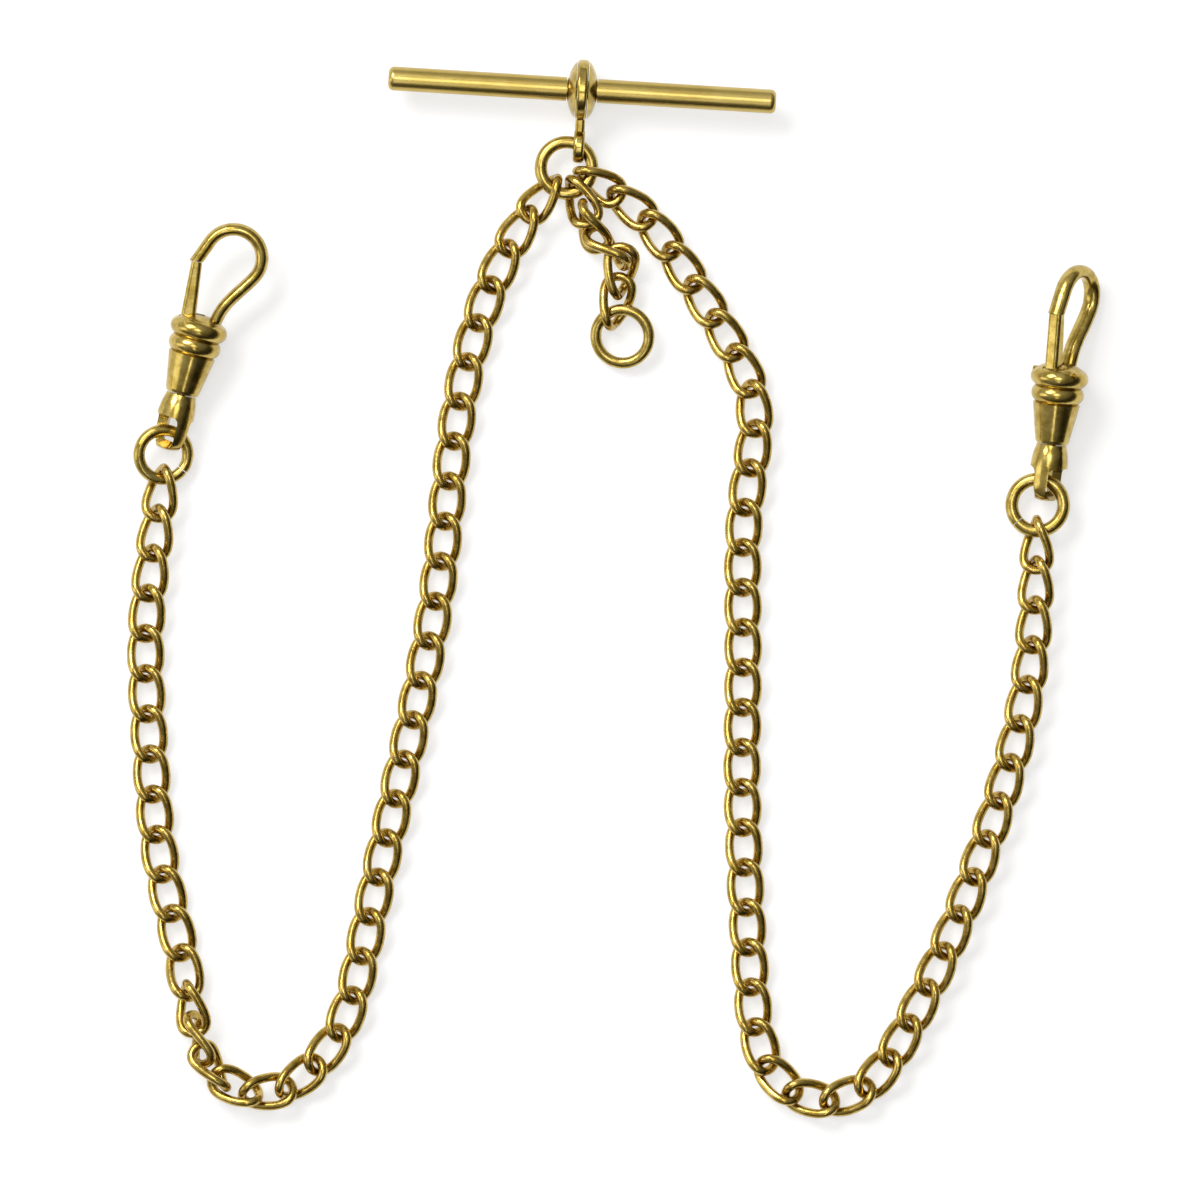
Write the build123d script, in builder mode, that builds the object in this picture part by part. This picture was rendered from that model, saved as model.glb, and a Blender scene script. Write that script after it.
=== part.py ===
from build123d import *
import os
from math import cos, pi, radians, sin

os.makedirs("parts", exist_ok=True)

# Double Albert watch chain, laid out flat on a table. Millimetres, +Z up, the table is Z = 0.

# Curb links
WIRE = 0.92
LINK_LENGTH = 6.02
LINK_WIDTH = 3.80
LINK_TWIST = 45.0
LINK_FULLNESS = 0.45
LINKS = 42
LINKS_PER_NODE = 3
LEFT_PITCH = 4.024
RIGHT_PITCH = 3.995

# Rings: radius of the wire's centreline, then radius of the wire
CENTRE_RING = (2.57, 0.63)
FOB_RING = (2.69, 0.56)
LEFT_RING = (2.475, 0.575)
RIGHT_RING = (2.60, 0.65)
RING_SEAM = 0.10
CENTRE_RING_AT = (-4.49, 42.49, 1.70)
FOB_RING_AT = (1.08, 25.68, 1.45)
LEFT_RING_AT = (-44.73, 13.87, 1.77)
RIGHT_RING_AT = (42.54, 8.82, 1.76)

# T-bar with its washers and shackle
BAR_LENGTH = 38.7
BAR_RADIUS = 1.2
BAR_MIDDLE = (-2.92, 50.19, 3.15)
BAR_LEAN = 3.5
JOURNAL_RADIUS = 0.95
JOURNAL_LENGTH = 3.1
WASHER_RADIUS = 3.12
WASHER_OUTER_FACE = 1.55
WASHER_INNER_FACE = 0.62
WASHER_BORE = 0.96
SHACKLE_THICKNESS = 1.1
SHACKLE_BORE = 1.02
SHACKLE_RADIUS = 3.05
SHACKLE_REACH = 5.72
SHACKLE_FALL = 14.7
NECK_TOP = 2.6
NECK_WIDTH = 0.95
EYE_BORE = 1.05
EYE_RADIUS = 1.7

# Swivel clasp, drawn with its axis on Y and the hook in the XY plane
COLLAR_RADIUS = 2.9
SECOND_COLLAR_RADIUS = 2.65
CONE_TOP_RADIUS = 2.38
CONE_END_RADIUS = 1.6
CONE_END = -6.6
HOOK_WIRE = (1.3, 1.75)
HOOK_BEND = 2.85
HOOK_CENTRE = (1.5, 7.8)
GATE_PIVOT = (-1.3, 0.6)
GATE_THICKNESS = 1.45
GATE_REACH = 5.90
NOSE_REACH = 5.97
PIN_RADIUS = 0.33
PIN_LENGTH = 4.5
RIVET_RADIUS = 0.46
RIVET_HEAD = 0.95
SLOT_INNER = (2.2, 2.3)
SLOT_OUTER = (5.6, 4.3)

# Clasp placing: collar centre, lean to the right, rise of the hook, roll of the hook, roll of the yoke
LEFT_CLASP = ((-41.15, 26.35, 2.93), 15.3, 5.8, 0.0, -52.0)
RIGHT_CLASP = ((44.65, 21.55, 3.26), 6.4, 7.8, 56.0, 65.0)

# Each chain lies along a route on the table, from the centre ring to its clasp
LEFT_ROUTE = [
    (-5.7, 41.05),
    (-8.35, 37.75),
    (-12.0, 30.8),
    (-14.4, 23.0),
    (-16.2, 11.3),
    (-17.5, -0.5),
    (-19.75, -12.4),
    (-22.4, -24.35),
    (-24.95, -36.35),
    (-27.2, -44.0),
    (-29.5, -47.1),
    (-32.3, -49.3),
    (-35.5, -50.1),
    (-38.2, -49.2),
    (-40.2, -47.0),
    (-41.4, -44.0),
    (-42.1, -40.8),
    (-42.9, -36.2),
    (-44.85, -27.85),
    (-46.1, -15.5),
    (-46.5, -3.5),
    (-45.7, 4.5),
    (-44.7, 12.4),
]
RIGHT_ROUTE = [
    (-2.95, 41.85),
    (0.45, 39.85),
    (3.7, 37.3),
    (6.15, 34.0),
    (10.35, 27.5),
    (12.4, 24.0),
    (14.0, 20.5),
    (14.45, 16.7),
    (13.9, 12.7),
    (13.35, 8.8),
    (13.1, 0.8),
    (13.15, -7.1),
    (13.05, -19.3),
    (13.3, -27.3),
    (13.7, -35.4),
    (14.2, -42.0),
    (14.8, -45.6),
    (16.2, -48.4),
    (18.5, -50.2),
    (21.4, -50.85),
    (24.3, -50.2),
    (26.5, -48.5),
    (28.3, -45.8),
    (31.65, -39.3),
    (34.95, -31.7),
    (37.65, -24.15),
    (40.05, -16.3),
    (41.7, -8.35),
    (42.35, -0.45),
    (42.5, 6.95),
]
# Slack: how much shorter than the pitch a pushed-together link spans
LEFT_SLACK = {24: 0.2, 25: 0.5, 26: 0.8, 27: 0.9, 28: 0.9, 29: 0.8}
RIGHT_SLACK = {1: 0.1, 25: 0.15, 26: 0.15, 27: 0.15}
# Roll of a link about its length, in degrees, worked out between the links named
LEFT_ROLLS = {1: 36, 2: 20, 4: 0, 23: 0, 24: -12, 25: -9, 26: 17, 27: 57, 28: 100, 29: 140, 30: 180, 38: 180, 42: 150}
RIGHT_ROLLS = {1: 37, 2: 23, 3: 15, 8: 15, 11: 0, 27: 0, 30: -12, 38: -15, 41: -30, 42: -46}
# Junctions pushed off the route where links climb over each other
LEFT_SHIFT = {24: (0.05, -0.1, 0.1), 25: (0, 0.1, 0.4), 27: (-0.1, 0, 0.2)}
RIGHT_SHIFT = {42: (-0.05, 0, 0.07)}

# Fob drop: junctions of five crumpled links, with their rolls
FOB_JUNCTIONS = [
    (-3.95, 40.7, 1.55),
    (-2.35, 37.45, 2.7),
    (-1.7, 35.8, 2.15),
    (1.0, 33.25, 2.55),
    (0.85, 31.1, 1.75),
    (0.0, 27.15, 1.55),
]
FOB_ROLLS = [36, 59, 107, 148, 150]


def between(table, k):
    """Value at link k from a table of link numbers and values."""
    keys = sorted(table)
    if k <= keys[0]:
        return table[keys[0]]
    for a, b in zip(keys, keys[1:]):
        if k <= b:
            return table[a] + (table[b] - table[a]) * (k - a) / (b - a)
    return table[keys[-1]]


def wire_axis(t):
    """Point on a curb link's wire axis for t from 0 to 2 pi, with the long axis on X."""
    x = (LINK_LENGTH - WIRE) / 2 * cos(t)
    w = (LINK_WIDTH - WIRE) / 2 * sin(t) * (1 + LINK_FULLNESS * cos(t) ** 2)
    turn = -radians(LINK_TWIST) * cos(t)
    return (x, w * cos(turn), w * sin(turn))


def lying_height(roll):
    """Height of a rolled link's long axis when the link touches the table."""
    a = radians(roll)
    points = [wire_axis(i * pi / 36) for i in range(72)]
    return WIRE / 2 + max(p[1] * sin(a) + p[2] * cos(a) for p in points)


def along(start, end, roll):
    """Location halfway between two points, with X towards the end, rolled about X."""
    x_dir = (end - start).normalized()
    z_dir = Vector(0, 0, 1) - x_dir * x_dir.Z
    middle = Plane(origin=(start + end) * 0.5, x_dir=x_dir, z_dir=z_dir)
    return middle.location * Location((0, 0, 0), (roll, 0, 0))


def chain_junctions(route, pitch, slack, rolls, shift):
    """Points where neighbouring links meet, one pitch apart along the route."""
    path = Spline([Vector(x, y) for x, y in route])
    length = path.length
    flat = [path @ 0]
    s = 0.0
    for k in range(1, LINKS + 1):
        span = pitch - slack.get(k, 0)
        low = s
        high = s + 1.5 * span
        for _ in range(22):
            middle = (low + high) / 2
            if (path.position_at(min(middle / length, 1.0)) - flat[-1]).length < span:
                low = middle
            else:
                high = middle
        s = high
        flat.append(path.position_at(min(s / length, 1.0)))
    found = []
    for k, p in enumerate(flat):
        height = max(lying_height(between(rolls, k)), lying_height(between(rolls, k + 1)))
        dx, dy, dz = shift.get(k, (0, 0, 0))
        found.append(Vector(p.X + dx, p.Y + dy, height + dz))
    return found


def clasp_location(centre, lean, rise, roll):
    """Location of a clasp: Y along its axis towards the hook, X across."""
    a = radians(lean)
    b = radians(rise)
    axis = Vector(sin(a) * cos(b), cos(a) * cos(b), sin(b))
    across = Vector(cos(a), -sin(a), 0)
    level = Plane(origin=centre, x_dir=across, z_dir=across.cross(axis))
    return level.location * Location((0, 0, 0), (0, roll, 0))


# ---- one curb link: the far half is the near half turned over about the long axis ----
with BuildPart() as half_link:
    with BuildLine() as half_axis:
        Spline(
            [wire_axis(i * pi / 12) for i in range(13)],
            tangents=[(0, 1, -1), (0, -1, -1)],
            tangent_scalars=[0.7, 0.7],
        )
    with BuildSketch(Plane(origin=half_axis.line @ 0, z_dir=half_axis.line % 0)):
        Circle(WIRE / 2)
    sweep()

half_skin = half_link.part.faces().sort_by(SortBy.AREA)[-1]
with BuildPart() as link:
    add(Solid(Shell([half_skin, half_skin.rotate(Axis.X, 180)])))

# ---- the two long chains ----
left_junctions = chain_junctions(LEFT_ROUTE, LEFT_PITCH, LEFT_SLACK, LEFT_ROLLS, LEFT_SHIFT)
right_junctions = chain_junctions(RIGHT_ROUTE, RIGHT_PITCH, RIGHT_SLACK, RIGHT_ROLLS, RIGHT_SHIFT)

for side, points, rolls in (
    ("left", left_junctions, LEFT_ROLLS),
    ("right", right_junctions, RIGHT_ROLLS),
):
    for first in range(1, LINKS + 1, LINKS_PER_NODE):
        numbers = range(first, first + LINKS_PER_NODE)
        with BuildPart() as chain_links:
            with Locations(*[along(points[k - 1], points[k], between(rolls, k)) for k in numbers]):
                add(link.part)
        node = f"{side}_chain_links_{numbers[0]:02d}_{numbers[-1]:02d}"
        chain_links.part.label = node
        export_step(chain_links.part, f"parts/{node}.step")

# ---- fob drop ----
fob_points = [Vector(*p) for p in FOB_JUNCTIONS]
for k, roll in enumerate(FOB_ROLLS):
    with BuildPart() as fob_link:
        with Locations(along(fob_points[k], fob_points[k + 1], roll)):
            add(link.part)
    fob_link.part.label = f"fob_link_{k + 1}"
    export_step(fob_link.part, f"parts/fob_link_{k + 1}.step")


def ring(size, at, tilt, seam=None):
    """Round wire ring, flat on Z before it is tilted, with a butt seam if an angle is given."""
    radius, wire = size
    with BuildPart() as hoop:
        with BuildSketch(Plane.XZ):
            with Locations((radius, 0)):
                Circle(wire)
        revolve(axis=Axis.Z)
        if seam is not None:
            with PolarLocations(radius, 1, start_angle=seam):
                Box(3 * wire, RING_SEAM, 3 * wire, mode=Mode.SUBTRACT)
    with BuildPart() as placed:
        with Locations(Location(at, tilt)):
            add(hoop.part)
    return placed


centre_ring = ring(CENTRE_RING, CENTRE_RING_AT, (0, 0, 0))
centre_ring.part.label = "centre_ring"
export_step(centre_ring.part, "parts/centre_ring.step")

fob_ring = ring(FOB_RING, FOB_RING_AT, (9, -8.6, 0))
fob_ring.part.label = "fob_ring"
export_step(fob_ring.part, "parts/fob_ring.step")

left_swivel_ring = ring(LEFT_RING, LEFT_RING_AT, (6.6, 13.2, 0), seam=-39.5)
left_swivel_ring.part.label = "left_swivel_ring"
export_step(left_swivel_ring.part, "parts/left_swivel_ring.step")

right_swivel_ring = ring(RIGHT_RING, RIGHT_RING_AT, (-1.4, -8.6, 0), seam=-140)
right_swivel_ring.part.label = "right_swivel_ring"
export_step(right_swivel_ring.part, "parts/right_swivel_ring.step")

# ---- T-bar, drawn along X and placed ----
bar_place = Location(BAR_MIDDLE, (0, 0, -BAR_LEAN))

with BuildPart() as bar_blank:
    with BuildSketch(Plane.YZ):
        Circle(BAR_RADIUS)
    extrude(amount=BAR_LENGTH / 2, both=True)
    fillet(bar_blank.edges().filter_by(GeomType.CIRCLE), 0.55)
    with BuildSketch(Plane.YZ):
        Circle(BAR_RADIUS + 1)
        Circle(JOURNAL_RADIUS, mode=Mode.SUBTRACT)
    extrude(amount=JOURNAL_LENGTH / 2, both=True, mode=Mode.SUBTRACT)

with BuildPart() as t_bar:
    with Locations(bar_place):
        add(bar_blank.part)
t_bar.part.label = "t_bar"
export_step(t_bar.part, "parts/t_bar.step")

with BuildPart() as washer_blank:
    with BuildSketch(Plane.XY):
        Ellipse(WASHER_OUTER_FACE, WASHER_RADIUS)
        with Locations((WASHER_INNER_FACE, WASHER_BORE)):
            Rectangle(WASHER_OUTER_FACE, WASHER_RADIUS, align=(Align.MIN, Align.MIN), mode=Mode.INTERSECT)
    revolve(axis=Axis.X)

with BuildPart() as t_bar_washers:
    with Locations(bar_place, bar_place * Location((0, 0, 0), (0, 0, 180))):
        add(washer_blank.part)
t_bar_washers.part.label = "t_bar_washers"
export_step(t_bar_washers.part, "parts/t_bar_washers.step")

fall = (cos(radians(SHACKLE_FALL)), sin(radians(SHACKLE_FALL)))
eye_centre = (0, -SHACKLE_REACH * fall[0], -SHACKLE_REACH * fall[1])
neck_top = (0, -NECK_TOP * fall[0], -NECK_TOP * fall[1])

with BuildPart() as shackle_blank:
    with BuildSketch(Plane.XY):
        with Locations((0, (SHACKLE_BORE + SHACKLE_RADIUS) / 2)):
            RectangleRounded(SHACKLE_THICKNESS, SHACKLE_RADIUS - SHACKLE_BORE, 0.3)
    revolve(axis=Axis.X)
    with BuildSketch(Plane(origin=eye_centre)):
        with Locations((0, (EYE_BORE + EYE_RADIUS) / 2)):
            RectangleRounded(SHACKLE_THICKNESS, EYE_RADIUS - EYE_BORE, 0.32)
    revolve(axis=Axis(eye_centre, (1, 0, 0)))
    with BuildSketch(Plane(origin=neck_top, x_dir=(1, 0, 0), z_dir=(0, -fall[0], -fall[1]))):
        RectangleRounded(NECK_WIDTH, SHACKLE_THICKNESS, 0.3)
    extrude(amount=SHACKLE_REACH - (EYE_BORE + EYE_RADIUS) / 2 - NECK_TOP)

with BuildPart() as t_bar_shackle:
    with Locations(bar_place):
        add(shackle_blank.part)
t_bar_shackle.part.label = "t_bar_shackle"
export_step(t_bar_shackle.part, "parts/t_bar_shackle.step")

# ---- swivel clasp pieces ----
with BuildPart() as clasp_blank:
    with BuildSketch(Plane.XY):
        with BuildLine():
            dome = Spline((0, 1.5), (1.3, 1.36), (2.3, 0.88), tangents=[(1, 0), (0.8, -0.6)])
            collar = ThreePointArc(dome @ 1, (COLLAR_RADIUS, 0), (2.3, -0.9))
            waist = ThreePointArc(collar @ 1, (SECOND_COLLAR_RADIUS, -1.7), (2.2, -2.5))
            shoulder = Line(waist @ 1, (CONE_TOP_RADIUS, -2.65))
            side_line = Line(shoulder @ 1, (CONE_END_RADIUS + 0.12, CONE_END + 0.3))
            lip = Line(side_line @ 1, (CONE_END_RADIUS, CONE_END))
            Polyline(
                lip @ 1,
                (RIVET_RADIUS + 0.04, CONE_END),
                (RIVET_RADIUS + 0.04, -5.3),
                (RIVET_HEAD + 0.05, -5.3),
                (RIVET_HEAD + 0.05, -4.1),
                (0, -4.1),
                (0, 1.5),
            )
        make_face()
    revolve(axis=Axis.Y)
    with BuildLine() as hook_axis:
        bend = CenterArc(HOOK_CENTRE, HOOK_BEND, -28, 188)
        Spline((1.3, 0.4), (1.6, 2.1), bend @ 0, tangents=[(0.15, 1), (0.469, 0.883)])
        PolarLine(bend @ 1, 2.65, 250)
    with BuildSketch(Plane(origin=(1.3, 0.4, 0), x_dir=(0, 0, 1), z_dir=(0.15, 1, 0))):
        Ellipse(HOOK_WIRE[1] / 2, HOOK_WIRE[0] / 2)
    sweep(path=hook_axis.wire())
    with BuildSketch(Plane.XY):
        with Locations(GATE_PIVOT):
            Circle(NOSE_REACH)
        with Locations((-2.0, 6.0)):
            Rectangle(2.4, 2.0, mode=Mode.INTERSECT)
    extrude(amount=1, both=True, mode=Mode.SUBTRACT)
    with Locations((-1.0, 0.9, 0)):
        Box(2.5, 2.7, GATE_THICKNESS + 0.15, mode=Mode.SUBTRACT)
    with Locations((GATE_PIVOT[0], GATE_PIVOT[1], 0)):
        Cylinder(PIN_RADIUS + 0.01, 7, mode=Mode.SUBTRACT)

with BuildPart() as gate_blank:
    with BuildSketch(Plane(origin=(-1.3, 0.6, 0), x_dir=(1, 0, 0), z_dir=(0, 1, 0))):
        RectangleRounded(1.54, GATE_THICKNESS, 0.4)
    with BuildSketch(Plane(origin=(-1.97, 6.9, 0), x_dir=(1, 0, 0), z_dir=(0, 1, 0))):
        RectangleRounded(1.06, GATE_THICKNESS, 0.4)
    loft()
    with BuildSketch(Plane.XY):
        with Locations(GATE_PIVOT):
            Circle(GATE_REACH)
    extrude(amount=2, both=True, mode=Mode.INTERSECT)
    with Locations((GATE_PIVOT[0], GATE_PIVOT[1], 0)):
        Cylinder(0.77, GATE_THICKNESS)
        Cylinder(PIN_RADIUS + 0.04, 3, mode=Mode.SUBTRACT)

with BuildPart() as pin_blank:
    with Locations((GATE_PIVOT[0], GATE_PIVOT[1], 0)):
        Cylinder(PIN_RADIUS, PIN_LENGTH)

with BuildPart() as spring_blank:
    with BuildSketch(Plane.XY):
        with BuildLine():
            Polyline((-1.9, -0.45), (0.18, -0.45), (0.18, 1.0), (0.04, 1.0), (0.04, -0.31), (-1.9, -0.31), close=True)
        make_face()
    extrude(amount=0.45, both=True)

with BuildPart() as rivet_blank:
    with BuildSketch(Plane.XY):
        with BuildLine():
            Polyline(
                (0, -4.2),
                (RIVET_HEAD, -4.2),
                (RIVET_HEAD, -5.2),
                (RIVET_RADIUS, -5.2),
                (RIVET_RADIUS, -7.9),
                (0, -7.9),
                close=True,
            )
        make_face()
    revolve(axis=Axis.Y)

with BuildPart() as yoke_blank:
    with BuildSketch(Plane.XY):
        with BuildLine():
            neck = Line((RIVET_RADIUS + 0.01, -6.75), (1.5, -6.75))
            bell = Spline(
                neck @ 1,
                (1.68, -7.5),
                (1.84, -8.5),
                (1.87, -10.5),
                (1.62, -11.8),
                (0, -12.5),
                tangents=[(0.1, -1), (-1, 0)],
            )
            Polyline(bell @ 1, (0, -7.9), (RIVET_RADIUS + 0.01, -7.9), neck @ 0)
        make_face()
    revolve(axis=Axis.Y)
    for outside in (2.0, -2.0):
        with BuildSketch(Plane.XY):
            with Locations((0, -10.4)):
                RectangleRounded(SLOT_INNER[0], SLOT_INNER[1], 0.4)
        with BuildSketch(Plane.XY.offset(outside)):
            with Locations((0, -11.15)):
                RectangleRounded(SLOT_OUTER[0], SLOT_OUTER[1], 0.8)
        loft(mode=Mode.SUBTRACT)

for side, (centre, lean, rise, hook_roll, yoke_roll) in (("left", LEFT_CLASP), ("right", RIGHT_CLASP)):
    for node, blank, roll in (
        ("clasp_body", clasp_blank, hook_roll),
        ("gate", gate_blank, hook_roll),
        ("gate_pin", pin_blank, hook_roll),
        ("gate_spring", spring_blank, hook_roll),
        ("swivel_rivet", rivet_blank, yoke_roll),
        ("yoke", yoke_blank, yoke_roll),
    ):
        with BuildPart() as piece:
            with Locations(clasp_location(centre, lean, rise, roll)):
                add(blank.part)
        piece.part.label = f"{side}_{node}"
        export_step(piece.part, f"parts/{side}_{node}.step")
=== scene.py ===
import math

import bpy
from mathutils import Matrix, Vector


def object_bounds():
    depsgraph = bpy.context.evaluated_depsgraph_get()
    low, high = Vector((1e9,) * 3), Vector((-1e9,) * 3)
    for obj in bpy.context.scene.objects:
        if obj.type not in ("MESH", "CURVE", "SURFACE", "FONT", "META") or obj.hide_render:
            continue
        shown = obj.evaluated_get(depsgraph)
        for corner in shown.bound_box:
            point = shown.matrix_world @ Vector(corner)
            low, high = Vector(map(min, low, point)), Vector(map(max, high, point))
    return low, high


# ---- driving numbers, in metres, degrees and watts ----
ROD_TURN = -3.5
FLOOR_SIZE = 6
FLOOR_DROP = 0.00002
FLOOR_GLOW = 0.60
VIEW_MIDDLE = (-0.00115, -0.00065)
CAMERA_HEIGHT = 1.0
CAMERA_LENS = 300
SENSOR_WIDTH = 36
LIGHT_SIDE = (-0.55, 0.55, 0.63)

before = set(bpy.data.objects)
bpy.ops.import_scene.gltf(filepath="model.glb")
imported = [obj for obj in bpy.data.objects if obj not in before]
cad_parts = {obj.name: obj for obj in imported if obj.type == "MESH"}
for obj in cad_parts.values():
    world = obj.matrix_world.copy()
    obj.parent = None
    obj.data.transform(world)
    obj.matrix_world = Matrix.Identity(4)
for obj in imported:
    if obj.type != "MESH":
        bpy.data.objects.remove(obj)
cad_low, cad_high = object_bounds()
middle = (cad_low + cad_high) / 2


# ---- small helpers for shader trees ----
def new_tree(name):
    """A material with an empty principled shader. Returns the material, its tree and the shader."""
    made = bpy.data.materials.new(name)
    made.use_nodes = True
    tree = made.node_tree
    tree.nodes.clear()
    shader = tree.nodes.new("ShaderNodeBsdfPrincipled")
    output = tree.nodes.new("ShaderNodeOutputMaterial")
    tree.links.new(shader.outputs["BSDF"], output.inputs["Surface"])
    return made, tree, shader


def stretched(tree, turn, scale):
    """Object coordinates, turned about Z and scaled along each axis."""
    place = tree.nodes.new("ShaderNodeTexCoord")
    mapping = tree.nodes.new("ShaderNodeMapping")
    mapping.vector_type = "TEXTURE"
    mapping.inputs["Rotation"].default_value = (0, 0, math.radians(turn))
    mapping.inputs["Scale"].default_value = scale
    tree.links.new(place.outputs["Object"], mapping.inputs["Vector"])
    return mapping.outputs["Vector"]


def noise(tree, where, scale, detail=2.0, rough=0.5, distortion=0.0):
    """Fractal noise, from about 0 to 1."""
    made = tree.nodes.new("ShaderNodeTexNoise")
    made.inputs["Scale"].default_value = scale
    made.inputs["Detail"].default_value = detail
    made.inputs["Roughness"].default_value = rough
    made.inputs["Distortion"].default_value = distortion
    tree.links.new(where, made.inputs["Vector"])
    return made.outputs["Fac"]


def spread(tree, value, low, high, to_low, to_high):
    """Maps a value from one range to another and keeps it inside."""
    made = tree.nodes.new("ShaderNodeMapRange")
    made.clamp = True
    for socket, number in (("From Min", low), ("From Max", high), ("To Min", to_low), ("To Max", to_high)):
        made.inputs[socket].default_value = number
    tree.links.new(value, made.inputs["Value"])
    return made.outputs["Result"]


def mixed(tree, share, first, second):
    """Colour between two colours or colour sockets."""
    made = tree.nodes.new("ShaderNodeMix")
    made.data_type = "RGBA"
    for socket, colour in (("A", first), ("B", second)):
        target = [s for s in made.inputs if s.name == socket and s.type == "RGBA"][0]
        if isinstance(colour, tuple):
            target.default_value = (*colour, 1)
        else:
            tree.links.new(colour, target)
    tree.links.new(share, made.inputs["Factor"])
    return [s for s in made.outputs if s.type == "RGBA"][0]


def bumped(tree, height, distance, strength=1.0, under=None):
    """A bump from a height, in metres, over another bump."""
    made = tree.nodes.new("ShaderNodeBump")
    made.inputs["Distance"].default_value = distance
    made.inputs["Strength"].default_value = strength
    tree.links.new(height, made.inputs["Height"])
    if under is not None:
        tree.links.new(under, made.inputs["Normal"])
    return made.outputs["Normal"]


# ---- metals: base colours, then one function for each finish ----
LIGHT_GOLD = (0.565, 0.42, 0.115)
DEEP_GOLD = (0.38, 0.262, 0.043)
WARM_GOLD = (0.585, 0.415, 0.104)
AMBER_GOLD = (0.39, 0.254, 0.037)
# painted shade colour: cast_gold mixes it into hollows and creases found by ambient occlusion
PAINTED_SHADE_BROWN = (0.32, 0.175, 0.024)
ROD_LIGHT = (0.57, 0.43, 0.135)
ROD_DEEP = (0.47, 0.34, 0.085)
STEEL_LIGHT = (0.42, 0.40, 0.37)
STEEL_DARK = (0.22, 0.20, 0.17)


def cast_gold(name, rough, lumps, grain=0.0000016, light=LIGHT_GOLD, deep=DEEP_GOLD):
    """Tumbled cast gold: soft lumps, fine grain, and painted shade that turns the colour brown in hollows
    found by ambient occlusion.
    """
    made, tree, shader = new_tree(name)
    where = stretched(tree, 0, (1, 1, 1))
    tone = spread(tree, noise(tree, where, 900, 4, 0.6), 0.38, 0.62, 0, 1)
    body = mixed(tree, tone, light, deep)
    # painted shade: ambient occlusion mixes the base colour towards brown in hollows and between touching
    # links
    hollow_shade = tree.nodes.new("ShaderNodeAmbientOcclusion")
    hollow_shade.inputs["Distance"].default_value = 0.0009
    hollow_shade.samples = 6
    painted_shade_share = spread(tree, hollow_shade.outputs["AO"], 0.10, 0.70, 0.6, 0)
    tree.links.new(mixed(tree, painted_shade_share, body, PAINTED_SHADE_BROWN), shader.inputs["Base Color"])
    shader.inputs["Metallic"].default_value = 1.0
    shader.inputs["Coat Weight"].default_value = 0.2
    shader.inputs["Coat Roughness"].default_value = 0.12
    worn = noise(tree, where, 1100, 3, 0.6)
    tree.links.new(spread(tree, worn, 0.3, 0.7, *rough), shader.inputs["Roughness"])
    coarse = bumped(tree, noise(tree, where, 900, 2, 0.5, 0.3), lumps)
    fine = noise(tree, where, 5200, 3, 0.6)
    tree.links.new(bumped(tree, fine, grain, under=coarse), shader.inputs["Normal"])
    return made


def brushed_gold(name, turn, rough):
    """Drawn rod, brushed along its length."""
    made, tree, shader = new_tree(name)
    lengthways = stretched(tree, turn, (30, 1, 1))
    everywhere = stretched(tree, 0, (1, 1, 1))
    tone = spread(tree, noise(tree, everywhere, 160, 3, 0.6), 0.35, 0.65, 0, 1)
    streak = noise(tree, lengthways, 7000, 3, 0.6)
    body = mixed(tree, tone, ROD_LIGHT, ROD_DEEP)
    dulled = mixed(tree, spread(tree, streak, 0.5, 0.8, 0, 0.25), body, DEEP_GOLD)
    tree.links.new(dulled, shader.inputs["Base Color"])
    shader.inputs["Metallic"].default_value = 1.0
    tree.links.new(spread(tree, streak, 0.3, 0.7, *rough), shader.inputs["Roughness"])
    dents = bumped(tree, noise(tree, everywhere, 220, 2, 0.5), 0.000005)
    tree.links.new(bumped(tree, streak, 0.0000007, under=dents), shader.inputs["Normal"])
    return made


def spring_steel(name):
    """Thin spring strip, rolled along its length and slightly oxidised."""
    made, tree, shader = new_tree(name)
    where = stretched(tree, 0, (1, 1, 1))
    tone = noise(tree, where, 2500, 4, 0.6)
    tree.links.new(mixed(tree, tone, STEEL_LIGHT, STEEL_DARK), shader.inputs["Base Color"])
    shader.inputs["Metallic"].default_value = 1.0
    tree.links.new(spread(tree, tone, 0.3, 0.7, 0.28, 0.5), shader.inputs["Roughness"])
    tree.links.new(bumped(tree, noise(tree, where, 8000, 2, 0.5), 0.000003), shader.inputs["Normal"])
    return made


link_gold = cast_gold("link_gold", rough=(0.15, 0.34), lumps=0.000028, light=WARM_GOLD, deep=AMBER_GOLD)
ring_gold = cast_gold("ring_gold", rough=(0.18, 0.34), lumps=0.000034)
turned_gold = cast_gold("turned_gold", rough=(0.14, 0.28), lumps=0.000012, grain=0.000001)
bar_gold = brushed_gold("bar_gold", ROD_TURN, rough=(0.26, 0.31))
steel = spring_steel("gate_spring_steel")

for name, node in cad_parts.items():
    if "chain_links" in name or "fob_link" in name:
        finish = link_gold
    elif "ring" in name and "spring" not in name:
        finish = ring_gold
    elif name == "t_bar":
        finish = bar_gold
    elif "gate_spring" in name:
        finish = steel
    else:
        finish = turned_gold
    node.data.materials.clear()
    node.data.materials.append(finish)

# ---- floor ----
bpy.ops.mesh.primitive_plane_add(size=1, location=(0, 0, 0))
floor = bpy.context.object
floor.name = "floor"
floor.scale = (FLOOR_SIZE, FLOOR_SIZE, 1)
floor.location = (middle.x, middle.y, cad_low.z - FLOOR_DROP)
paper, paper_tree, paper_shader = new_tree("pale_floor")
grain = noise(paper_tree, stretched(paper_tree, 0, (1, 1, 1)), 40, 3, 0.5)
paper_tree.links.new(
    mixed(paper_tree, grain, (0.49, 0.49, 0.495), (0.53, 0.53, 0.535)), paper_shader.inputs["Base Color"]
)
paper_shader.inputs["Roughness"].default_value = 0.85
paper_shader.inputs["Specular IOR Level"].default_value = 0.15
paper_shader.inputs["Emission Color"].default_value = (1, 1, 1, 1)
paper_shader.inputs["Emission Strength"].default_value = FLOOR_GLOW
floor.data.materials.append(paper)

# ---- light: a pale room, darker to the right and towards the viewer's feet, and soft boxes ----

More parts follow.
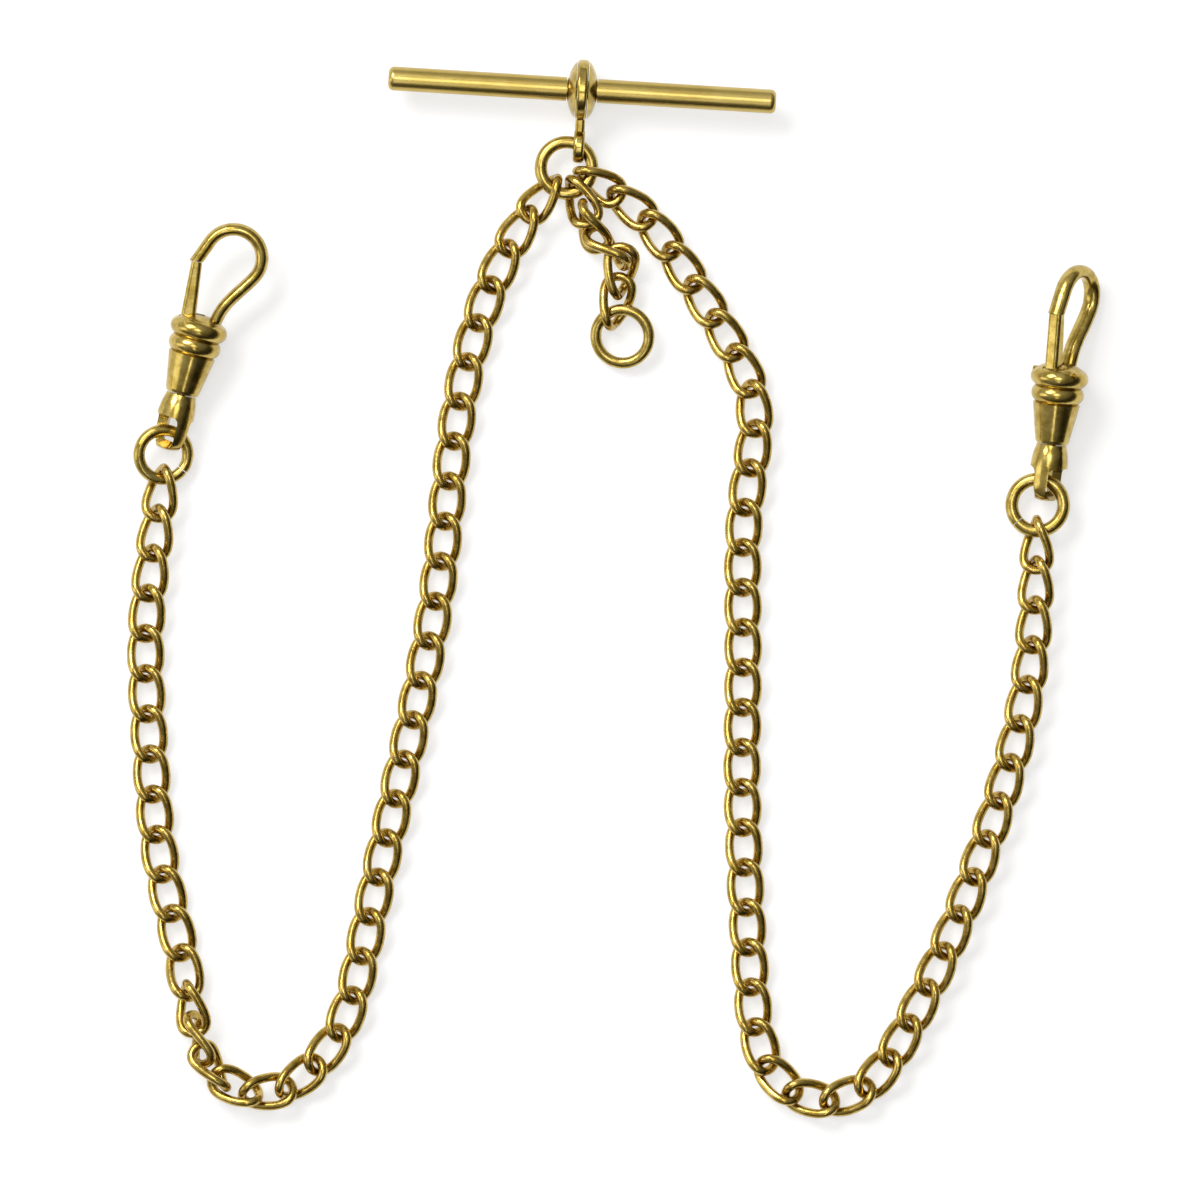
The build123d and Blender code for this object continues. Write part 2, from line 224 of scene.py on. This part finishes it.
def make_room():
    """Grey room for the reflections, and a white backdrop behind the floor."""
    world = bpy.data.worlds.new("studio")
    bpy.context.scene.world = world
    world.use_nodes = True
    tree = world.node_tree
    tree.nodes.clear()
    facing = tree.nodes.new("ShaderNodeTexCoord")
    dot = tree.nodes.new("ShaderNodeVectorMath")
    dot.operation = "DOT_PRODUCT"
    dot.inputs[1].default_value = Vector(LIGHT_SIDE).normalized()
    tree.links.new(facing.outputs["Generated"], dot.inputs[0])
    ramp = tree.nodes.new("ShaderNodeValToRGB")
    ramp.color_ramp.interpolation = "EASE"
    dark, pale = ramp.color_ramp.elements
    dark.position = 0.34
    dark.color = (0.030, 0.027, 0.022, 1)
    pale.position = 1.0
    pale.color = (0.62, 0.62, 0.61, 1)
    between = ramp.color_ramp.elements.new(0.56)
    between.color = (0.20, 0.195, 0.18, 1)
    tree.links.new(spread(tree, dot.outputs["Value"], -1, 1, 0, 1), ramp.inputs["Fac"])
    room = tree.nodes.new("ShaderNodeBackground")
    tree.links.new(ramp.outputs["Color"], room.inputs["Color"])
    backdrop = tree.nodes.new("ShaderNodeBackground")
    backdrop.inputs["Color"].default_value = (1, 1, 1, 1)
    ray = tree.nodes.new("ShaderNodeLightPath")
    either = tree.nodes.new("ShaderNodeMixShader")
    tree.links.new(ray.outputs["Is Camera Ray"], either.inputs["Fac"])
    tree.links.new(room.outputs["Background"], either.inputs[1])
    tree.links.new(backdrop.outputs["Background"], either.inputs[2])
    sky = tree.nodes.new("ShaderNodeOutputWorld")
    tree.links.new(either.outputs["Shader"], sky.inputs["Surface"])


def soft_box(name, at, wide, high, watts):
    """Rectangular area light aimed at the middle of the object."""
    data = bpy.data.lights.new(name, "AREA")
    data.shape = "RECTANGLE"
    data.size = wide
    data.size_y = high
    data.energy = watts
    lamp = bpy.data.objects.new(name, data)
    bpy.context.scene.collection.objects.link(lamp)
    lamp.location = at
    lamp.rotation_mode = "QUATERNION"
    lamp.rotation_quaternion = (middle - Vector(at)).to_track_quat("-Z", "Y")
    lamp.visible_camera = False


make_room()
soft_box("key", (-0.30, 0.38, 0.52), 0.40, 0.26, 3.1)
soft_box("top", (-0.04, 0.10, 0.80), 0.30, 0.30, 0.9)
soft_box("strip", (-0.05, -0.34, 0.72), 0.10, 0.40, 0.30)
soft_box("side", (-0.60, -0.05, 0.25), 0.25, 0.45, 0.5)

# ---- camera: straight down ----
optics = bpy.data.cameras.new("camera")
optics.lens = CAMERA_LENS
optics.sensor_width = SENSOR_WIDTH
optics.clip_start = 0.05
optics.clip_end = 20
camera = bpy.data.objects.new("camera", optics)
bpy.context.scene.collection.objects.link(camera)
camera.location = (*VIEW_MIDDLE, CAMERA_HEIGHT)
camera.rotation_euler = (0, 0, 0)
bpy.context.scene.camera = camera
bpy.context.scene.view_settings.view_transform = "Standard"
